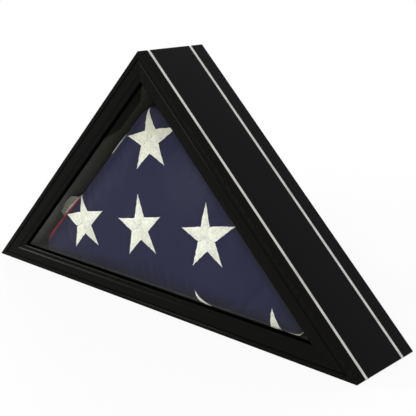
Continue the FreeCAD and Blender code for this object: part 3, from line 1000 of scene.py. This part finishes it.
def bunting(coordinates, base, shade, painted_light_and_shade=None):
    x, y, z = axes(coordinates)
    warp = (x + z) * COS_45 + y
    weft = (x - z) * COS_45 - y
    turns = 2.0 * math.pi / THREAD_PITCH
    crossing = coordinates.math("SINE", warp * turns) * coordinates.math("SINE", weft * turns)
    slubs = noise_on(along_board(coordinates, "left", 30.0), 1500.0, 2.0)
    slubs_across = noise_on(along_board(coordinates, "right", 30.0), 1500.0, 2.0)
    patches = noise_on(coordinates, 16.0, 3.0, 0.55)
    thread_shade = slubs * 0.30 + slubs_across * 0.30 + patches * 0.40
    colour = blend_colours(ease(thread_shade, 0.32, 0.68), shade, base)
    return principled(
        coordinates,
        {
            "Base Color": painted_light_and_shade(coordinates, colour) if painted_light_and_shade else colour,
            "Roughness": 0.78 + crossing * 0.04,
            "Specular IOR Level": 0.05,
            "Sheen Weight": 0.03,
            "Sheen Roughness": 0.45,
            "Normal": bumped(crossing * 0.5 + slubs * 0.3 + slubs_across * 0.3, 0.09 * MM, 0.6),
        },
    )


cloth = {
    "blue": finish_from("blue_bunting", bunting, BLUE, BLUE_SHADE, blue_painted_light_and_shade),
    "red": finish_from("red_bunting", bunting, (0.270, 0.018, 0.024), (0.200, 0.012, 0.018)),
    # The whites are darker than clean white cloth: painted shade for plies in the pad's shade, darkest on
    # the corner.
    "white": finish_from("white_bunting_painted_shade", bunting, (0.40, 0.40, 0.345), (0.29, 0.29, 0.245)),
    "white_in_deep_painted_shade": finish_from("white_bunting_deep_painted_shade", bunting, (0.245, 0.250, 0.210), (0.125, 0.128, 0.105)),
}
print("cloth:", [m.name for m in cloth.values()])

# %% [markdown]
# The pad and the plies are one piece of cloth, so they become one object with a finish for each colour.
# It takes the place of the CAD model's plain soft solid and rides on the flag's body.

# %% Join the flag
flag_bm = bmesh.new()
flag_bm.from_mesh(flag_mesh)
colour_order = list(cloth)
for colour, rows in PLIES:
    grid = [[flag_bm.verts.new(point) for point in row] for row in rows]
    made = []
    for low, high in zip(grid, grid[1:]):
        for i in range(len(low) - 1):
            made.append(flag_bm.faces.new((low[i], low[i + 1], high[i + 1], high[i])))
        made.append(flag_bm.faces.new((low[-1], low[0], high[0], high[-1])))
    made.append(flag_bm.faces.new(list(reversed(grid[0]))))
    made.append(flag_bm.faces.new(grid[-1]))
    bmesh.ops.recalc_face_normals(flag_bm, faces=made)
    for face in made:
        face.material_index = colour_order.index(colour)
        face.smooth = True
folded_mesh = bpy.data.meshes.new("folded_flag_cloth")
flag_bm.to_mesh(folded_mesh)
flag_bm.free()
for finish in cloth.values():
    folded_mesh.materials.append(finish)
folded = new_object("folded_flag_cloth", folded_mesh)
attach(folded, "flag")
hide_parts("folded_flag")
print("folded flag:", len(folded_mesh.polygons), "faces")

# %% [markdown]
# The stars are embroidered. Each is sewn as five kites that meet in the middle, with the threads of a
# kite lying side by side across it, so every arm catches the light in its own way. First comes the rule
# for where a point of the flat cloth ends up on the pad: straight on the face, and round the crowned edge
# by its length where the cloth turns over. A ray then finds the real surface there, ripples and all.
# Against the floor of the case the threads are pressed flat into the cloth.

# %% From flat cloth to the pad
pad = BVHTree.FromObject(folded, bpy.context.evaluated_depsgraph_get())
SIDE_NORMALS = {
    "bottom": Vector((0.0, -1.0)),
    "right": Vector((COS_45, COS_45)),
    "left": Vector((-COS_45, COS_45)),
}
CROWNS = {"bottom": BASE_CROWN, "right": LEG_CROWN, "left": LEG_CROWN}
ARC_STEPS = 90
PRESSED_SINK = 0.25 * MM
FREE_HEIGHTS = (0.5, 4.0)
RAY_LIFT = 15.0 * MM
RAY_LENGTH = 30.0 * MM


def arc_table(width, depth):
    """Lengths of cloth along a crown, from the face to each of its steps."""
    lengths = [0.0]
    for k in range(1, ARC_STEPS + 1):
        a, b = (math.pi / 2.0 * j / ARC_STEPS for j in (k - 1, k))
        across = width * (math.sin(b) - math.sin(a))
        fall = depth * (math.cos(a) - math.cos(b))
        lengths.append(lengths[-1] + math.hypot(across, fall))
    return lengths


arcs = {side: arc_table(*crown) for side, crown in CROWNS.items()}


def inset_from(side, flat):
    """Distance of a flat point inwards from one side of the flag's triangle."""
    normal = SIDE_NORMALS[side]
    reach = -FLAG_FLOOR if side == "bottom" else (FLAG_HALF + FLAG_FLOOR) * COS_45
    return reach - flat.dot(normal)


def round_the_edge(side, run):
    """Inset and fall after a run of cloth from where a crown begins, and the turn there."""
    width, depth = CROWNS[side]
    lengths = arcs[side]
    if run >= lengths[-1]:
        return 0.0, depth + run - lengths[-1], math.pi / 2.0
    k = next(i for i in range(1, ARC_STEPS + 1) if lengths[i] >= run)
    part = (run - lengths[k - 1]) / (lengths[k] - lengths[k - 1])
    turn = math.pi / 2.0 * (k - 1 + part) / ARC_STEPS
    return width * (1.0 - math.sin(turn)), depth * (1.0 - math.cos(turn)), turn


def on_cloth(flat, rise, facing_back):
    """A point at a rise in metres over the flag's cloth, from its place in millimetres when flat."""
    side = min(CROWNS, key=lambda name: inset_from(name, flat) / CROWNS[name][0])
    inset = inset_from(side, flat)
    width, depth = CROWNS[side]
    spot = flat.copy()
    fall = 0.0
    outward = Vector((0.0, -1.0, 0.0))
    if inset < width:
        new_inset, fall, turn = round_the_edge(side, width - inset)
        normal = SIDE_NORMALS[side]
        spot += normal * (inset - new_inset)
        slope_out = depth * math.sin(turn)
        slope_front = width * math.cos(turn)
        outward = Vector((normal.x * slope_out, -slope_front, normal.y * slope_out)).normalized()
    level = FLAG_FRONT + fall
    if facing_back:
        level = FLAG_BACK - fall
        outward.y = -outward.y
    above = place(spot.x, level, spot.y) + outward * RAY_LIFT
    hit, normal, _, _ = pad.ray_cast(above, -outward, RAY_LENGTH)
    if hit is None:
        hit, normal, _, _ = pad.find_nearest(above)
    if rise > 0.0:
        free = smooth_step(hit.z / MM - FLAG_FLOOR, *FREE_HEIGHTS)
        rise = rise * free - PRESSED_SINK * (1.0 - free)
    return hit + normal * rise


print("cloth round the crowns:", {side: round(lengths[-1], 1) for side, lengths in arcs.items()}, "mm")

# %% [markdown]
# A star is charted from its middle, its radius, its tilt and a lean, because the cloth lies on the bias
# here, which lets it pull askew. Small pulls move single corners, which are counted leftwards from the
# top tip, tips even and waists odd, and the star that the base fold cuts is drawn along the fold. A row
# is a short line of points across one of the five kites. It stands higher in the middle than at its
# edges, as satin stitch does over its padding.

# %% Chart the stars
STAR_WAIST = 0.381
CORNER_TURN = 36.0
EDGE_WAVER = 0.7
EDGE_THREAD = 0.34
LEAST_HALF = 0.25
WAVER_SCALE = 0.22
ARM_OFFSET = 3.7
FULL_WAVER = 3.0
FULL_PADDING = 9.0
FOLD_DROP = 18.0
FRONT_STARS = (
    {
        "centre": (0.3, 230.7), "radius": 44.7, "tilt": 14.4, "lean": 0.233,
        "pulls": {0: (-10.0, 1.5), 1: (1.3, 1.8), 2: (-8.0, -3.0), 3: (0.5, 1.3), 9: (0.2, 1.5)},
    },
    {
        "centre": (-147.0, 89.9), "radius": 45.5, "tilt": 14.7, "lean": 0.126,
        "pulls": {0: (-12.0, -5.0), 1: (1.5, 2.4), 2: (-7.5, -1.5), 8: (3.0, 1.0), 9: (0.9, 2.2)},
    },
    {
        "centre": (-23.7, 106.9), "radius": 46.6, "tilt": 11.9, "lean": 0.118,
        "pulls": {
            0: (1.8, 1.3), 1: (1.6, -0.4), 2: (1.4, 0.0),
            4: (0.4, -1.4), 7: (-1.1, -1.0), 8: (-1.9, -0.5),
        },
    },
    {
        "centre": (102.2, 117.8), "radius": 46.8, "tilt": 11.1, "lean": 0.104,
        "pulls": {
            1: (2.6, 1.6), 2: (2.1, 0.0), 3: (2.0, 1.1),
            6: (-2.7, -1.4), 7: (-1.9, -0.7), 9: (-2.8, 0.7),
        },
    },
    {
        "centre": (87.8, -6.2), "radius": 46.0, "tilt": 0.0, "lean": -0.20, "drawn": 0.00015,
        "pulls": {1: (-0.5, 0.0), 9: (0.5, 0.0)},
    },
    {
        "centre": (216.4, 5.3), "radius": 46.0, "tilt": 15.0, "lean": 0.10,
        "pulls": {8: (-4.0, -5.5), 9: (-1.5, 0.0)},
    },
)
BACK_STARS = (
    {"centre": (-118.0, 92.0), "radius": 46.0, "tilt": -9.0, "lean": -0.10},
    {"centre": (8.0, 104.0), "radius": 46.0, "tilt": -9.0, "lean": -0.10},
    {"centre": (130.0, 84.0), "radius": 46.0, "tilt": -9.0, "lean": -0.10},
    {"centre": (0.0, 222.0), "radius": 45.0, "tilt": -11.0, "lean": -0.16},
)


def star_corner(star, k):
    """Corner k of a star's ten, counted leftwards from the top tip, from the star's middle."""
    turn = math.radians(star["tilt"] + CORNER_TURN * k)
    spot = Vector((-math.sin(turn), math.cos(turn))) * star["radius"] * (STAR_WAIST if k % 2 else 1.0)
    spot.x += star["lean"] * spot.y
    return spot + Vector(star.get("pulls", {}).get(k % 10, (0.0, 0.0)))


def drawn_along(star, spot):
    """How far the base fold draws a star's point along itself, more with its drop below the top tip."""
    drop = min(star_corner(star, 0).y - spot.y, FOLD_DROP)
    return star.get("drawn", 0.0) * max(drop, 0.0) ** 4


def kite_row(star, arm, share, count):
    """Points across a kite at a share of the way to its tip, with their height and nearness to its edge."""
    tip, left, right = (star_corner(star, 2 * arm + k) for k in (0, 1, -1))
    waist_share = STAR_WAIST * math.cos(math.radians(CORNER_TURN))
    if share < waist_share:
        ends = [corner * (share / waist_share) for corner in (left, right)]
    else:
        ends = [corner.lerp(tip, (share - waist_share) / (1.0 - waist_share)) for corner in (left, right)]
    middle = (ends[0] + ends[1]) / 2.0
    across = (ends[1] - ends[0]) / 2.0
    half = across.length
    reach = share * star["radius"]
    waver = noise.noise(Vector((reach * WAVER_SCALE, arm * ARM_OFFSET, star["centre"][0])))
    half = max(half - EDGE_THREAD + EDGE_WAVER * waver * smooth_step(half, 0.0, FULL_WAVER), LEAST_HALF)
    row = []
    for k in range(count):
        part = 2.0 * k / (count - 1) - 1.0
        padding = (1.0 - part * part) * smooth_step(half, 0.0, FULL_PADDING)
        spot = middle + across.normalized() * (half * part)
        spot.x += drawn_along(star, spot)
        row.append((Vector(star["centre"]) + spot, padding, abs(part)))
    return row


print("charted:", len(FRONT_STARS), "stars in front and", len(BACK_STARS), "at the back")

# %% [markdown]
# The stitches are rows laid side by side from the middle of the star to each tip. The same rows, a little
# lower and further apart, are the tops of the solid padding under the threads, so that no blue shows
# between them. Where a whole row has gone under the flag it is left out, as nothing can see it there.

# %% Lay the stitches and their padding
ACROSS = 6
SATIN_RISE = 1.35
STITCH_PITCH = 0.62
STITCH_START = 0.8
STITCH_STOP = 0.3
STITCH_LIFT = 0.15
PADDING_ROWS = 15
PADDING_FIRST = 0.001
PADDING_SPAN = 0.99
PADDING_LIFT = 0.10
PADDING_FOOT = -0.5
UNDERSIDE = 0.6
stitch_points, stitch_edges, stitch_borders = [], [], []
padding_points, padding_faces = [], []


def lies_under(points):
    """True where a row has turned under the flag, out of sight and against the floor of the case."""
    return all(point.z < (FLAG_FLOOR + UNDERSIDE) * MM for point in points)


def over_cloth(row, lift, facing_back):
    """A row's points on the cloth, with its satin rise over a lift in millimetres."""
    return [on_cloth(flat, (lift + SATIN_RISE * high) * MM, facing_back) for flat, high, _ in row]


def sew_kite(star, arm, facing_back):
    reach = STITCH_START
    while reach < star["radius"] - STITCH_STOP:
        row = kite_row(star, arm, reach / star["radius"], ACROSS)
        stitch = over_cloth(row, STITCH_LIFT, facing_back)
        if not lies_under(stitch):
            first = len(stitch_points)
            stitch_points.extend(stitch)
            stitch_borders.extend(border for _, _, border in row)
            stitch_edges.extend((first + k, first + k + 1) for k in range(ACROSS - 1))
        reach += STITCH_PITCH


def pad_kite(star, arm, facing_back):
    rings = []
    for k in range(PADDING_ROWS + 1):
        row = kite_row(star, arm, PADDING_FIRST + PADDING_SPAN * k / PADDING_ROWS, ACROSS)
        tops = over_cloth(row, PADDING_LIFT, facing_back)
        feet = [on_cloth(flat, PADDING_FOOT * MM, facing_back) for flat, _, _ in row]
        if not lies_under(tops):
            rings.append(tops + feet[::-1])
    loop = 2 * ACROSS
    starts = [len(padding_points) + loop * r for r in range(len(rings))]
    for ring in rings:
        padding_points.extend(ring)
    for low, high in zip(starts, starts[1:]):
        for k in range(loop):
            n = (k + 1) % loop
            padding_faces.append((low + k, low + n, high + n, high + k))
    if len(rings) > 1:
        padding_faces.append(tuple(starts[0] + k for k in reversed(range(loop))))
        padding_faces.append(tuple(starts[-1] + k for k in range(loop)))


for stars, facing_back in ((FRONT_STARS, False), (BACK_STARS, True)):
    for star in stars:
        for arm in range(5):
            sew_kite(star, arm, facing_back)
            pad_kite(star, arm, facing_back)
print("stitches:", len(stitch_edges) // (ACROSS - 1), "padding faces:", len(padding_faces))

# %% [markdown]
# Thousands of threads that all have the same rule are a job for Geometry Nodes. The tree takes the
# charted lines, lets each point stray by a hair from a fixed seed, sweeps a small ring along every line,
# and gives the result its finish. Its sizes are inputs with names, so that a coarser thread is one number
# away.

# %% Threads from the chart
SATIN_INPUTS = {
    "Thread radius": ("Float", 0.34 * MM),
    "Stray": ("Float", 0.12 * MM),
    "Sides": ("Int", 4),
    "Seed": ("Int", 7),
}
THREAD_WHITE = (0.845, 0.855, 0.785)
THREAD_DULL = (0.56, 0.553, 0.460)
DULL_HEIGHTS = (190.0, 285.0)


def embroidery_thread(coordinates):
    strands = noise_on(coordinates, 2400.0, 2.0)
    mottle = ease(noise_on(coordinates, 260.0, 2.0, 0.6), 0.36, 0.66)
    soil = ease(noise_on(coordinates, 55.0, 3.0), 0.45, 0.80)
    x, y, z = axes(coordinates)
    border = coordinates.node("ShaderNodeAttribute", {"attribute_name": "kite_edge"}, None, output=2)
    # Painted shade: each kite is darker along its middle, where its stitches meet, than at its edges.
    shade = (strands * 0.25 + mottle * 0.50 + soil * 0.25) * (1.0 - ease(border, 0.6, 1.0) * 0.8)
    # Darker and yellower towards the top.
    shade = shade + ease_mm(z, *DULL_HEIGHTS)
    return principled(
        coordinates,
        {
            "Base Color": blend_colours(shade, THREAD_WHITE, THREAD_DULL),
            "Roughness": 0.52 + strands * 0.14,
            "Specular IOR Level": 0.3,
            "Sheen Weight": 0.1,
            "Normal": bumped(strands, 0.05 * MM, 0.4),
        },
    )


def satin_tree(finish):
    tree = bpy.data.node_groups.new("satin_stitches", "GeometryNodeTree")
    face = tree.interface
    face.new_socket("Stitch lines", in_out="INPUT", socket_type="NodeSocketGeometry")
    sockets = {}
    for name, (kind, _) in SATIN_INPUTS.items():
        sockets[name] = face.new_socket(name, in_out="INPUT", socket_type="NodeSocket" + kind)
    face.new_socket("Threads", in_out="OUTPUT", socket_type="NodeSocketGeometry")
    inlet = tree.nodes.new("NodeGroupInput")
    given, radius, stray, sides, seed = (
        Wire(tree, inlet.outputs[name]) for name in ("Stitch lines", *SATIN_INPUTS)
    )
    lines = given.node("GeometryNodeMeshToCurve", None, {"Mesh": given})
    jitter = given.node(
        "FunctionNodeRandomValue",
        {"data_type": "FLOAT_VECTOR"},
        {0: (-1.0, -1.0, -1.0), 1: (1.0, 1.0, 1.0), "Seed": seed},
    )
    offset = given.node("ShaderNodeVectorMath", {"operation": "SCALE"}, {0: jitter, "Scale": stray})
    lines = given.node("GeometryNodeSetPosition", None, {"Geometry": lines, "Offset": offset})
    ring = given.node("GeometryNodeCurvePrimitiveCircle", None, {"Resolution": sides, "Radius": radius})
    sweep = {"Curve": lines, "Profile Curve": ring, "Fill Caps": True}
    threads = given.node("GeometryNodeCurveToMesh", None, sweep)
    threads = given.node("GeometryNodeSetShadeSmooth", None, {"Geometry": threads})
    threads = given.node("GeometryNodeRealizeInstances", None, {"Geometry": threads})
    threads = given.node("GeometryNodeSetMaterial", None, {"Geometry": threads, "Material": finish})
    given.node("NodeGroupOutput", None, {"Threads": threads})
    return tree, sockets


star_thread = finish_from("star_thread", embroidery_thread)
satin, satin_sockets = satin_tree(star_thread)
chart_mesh = bpy.data.meshes.new("star_chart")
chart_mesh.from_pydata(stitch_points, stitch_edges, [])
chart_mesh.attributes.new("kite_edge", "FLOAT", "POINT").data.foreach_set("value", stitch_borders)
chart = new_object("star_chart", chart_mesh)
sewing = chart.modifiers.new("satin stitches", "NODES")
sewing.node_group = satin
for name, (_, value) in SATIN_INPUTS.items():
    sewing[satin_sockets[name].identifier] = value
thread_mesh = plain_mesh(chart)
bpy.data.objects.remove(chart)
print("threads:", len(thread_mesh.polygons), "faces")

# %% [markdown]
# The threads and the padding under them become one piece, which rides on the flag as the cloth does.

# %% Join the stars
padding_mesh = bpy.data.meshes.new("star_padding")
padding_mesh.from_pydata(padding_points, [], padding_faces)
padding_mesh.attributes.new("kite_edge", "FLOAT", "POINT")
stars_bm = bmesh.new()
stars_bm.from_mesh(padding_mesh)
bmesh.ops.recalc_face_normals(stars_bm, faces=stars_bm.faces)
for face in stars_bm.faces:
    face.smooth = True
stars_bm.from_mesh(thread_mesh)
stars_mesh = bpy.data.meshes.new("embroidered_stars")
stars_bm.to_mesh(stars_mesh)
stars_bm.free()
stars_mesh.materials.clear()
stars_mesh.materials.append(star_thread)
stars_piece = new_object("embroidered_stars", stars_mesh)
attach(stars_piece, "flag")
print("stars:", sum(len(p.vertices) - 2 for p in stars_mesh.polygons), "triangles")
